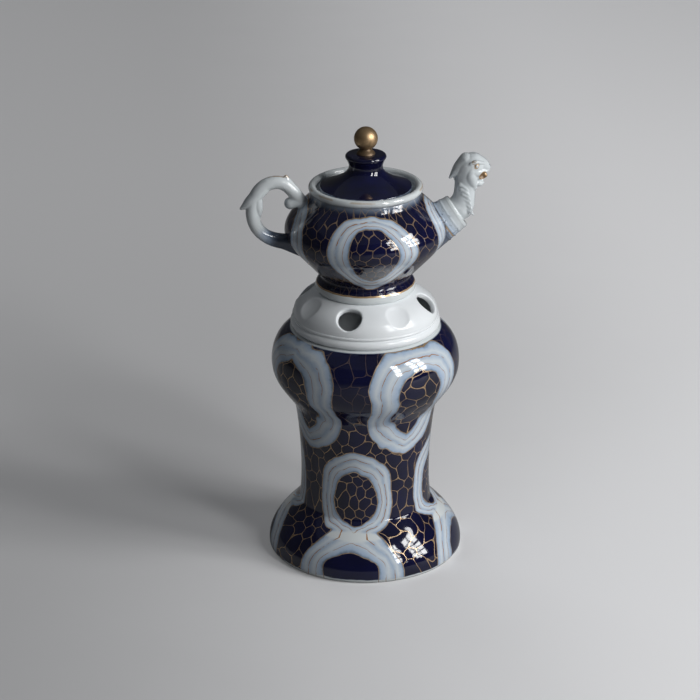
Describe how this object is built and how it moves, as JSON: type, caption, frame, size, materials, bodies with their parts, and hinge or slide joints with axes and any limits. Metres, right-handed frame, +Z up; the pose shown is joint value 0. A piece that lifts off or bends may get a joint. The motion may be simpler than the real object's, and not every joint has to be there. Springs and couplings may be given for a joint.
{
  "type": "teapot on warmer stand",
  "caption": "Small lidded porcelain teapot with scroll handle and animal-head spout, seated on a pierced collar over a hollow waisted stand that holds a sliding oil burner.",
  "frame": {"origin": "centre of the foot on the table", "axes": "+Z up, +X from the pot's axis towards the spout"},
  "size_m": [0.1506, 0.12, 0.273],
  "materials": {
    "stand_glaze": "gloss",
    "pot_glaze": "gloss",
    "white_glaze": "gloss",
    "cobalt_glaze": "gloss",
    "gilding": "satin",
    "cork": "matte",
    "tin": "satin",
    "cotton": "matte"
  },
  "bodies": {
    "stand": {"stand": "stand_glaze"},
    "collar": {"vent_collar": "white_glaze"},
    "teapot": {"teapot_body": "pot_glaze", "spout": "white_glaze", "handle": "white_glaze"},
    "lid": {"lid": "cobalt_glaze", "knob": "gilding"},
    "burner": {"burner_cup": "white_glaze", "burner_handle": "white_glaze"},
    "float": {"wick_float": "cork", "wick_plate": "tin", "wick": "cotton"}
  },
  "joints": [
    {"name": "collar_lift", "type": "slide", "parent": "stand", "child": "collar", "axis": [0, 0, 1], "range_m": [0, 0.05]},
    {"name": "teapot_lift", "type": "slide", "parent": "collar", "child": "teapot", "axis": [0, 0, 1], "range_m": [0, 0.05]},
    {"name": "lid_lift", "type": "slide", "parent": "teapot", "child": "lid", "axis": [0, 0, 1], "range_m": [0, 0.04]},
    {"name": "burner_slide", "type": "slide", "parent": "stand", "child": "burner", "axis": [0.2588, 0.9659, 0], "range_m": [0, 0.095]},
    {"name": "float_lift", "type": "slide", "parent": "burner", "child": "float", "axis": [0, 0, 1], "range_m": [0, 0.035]}
  ]
}
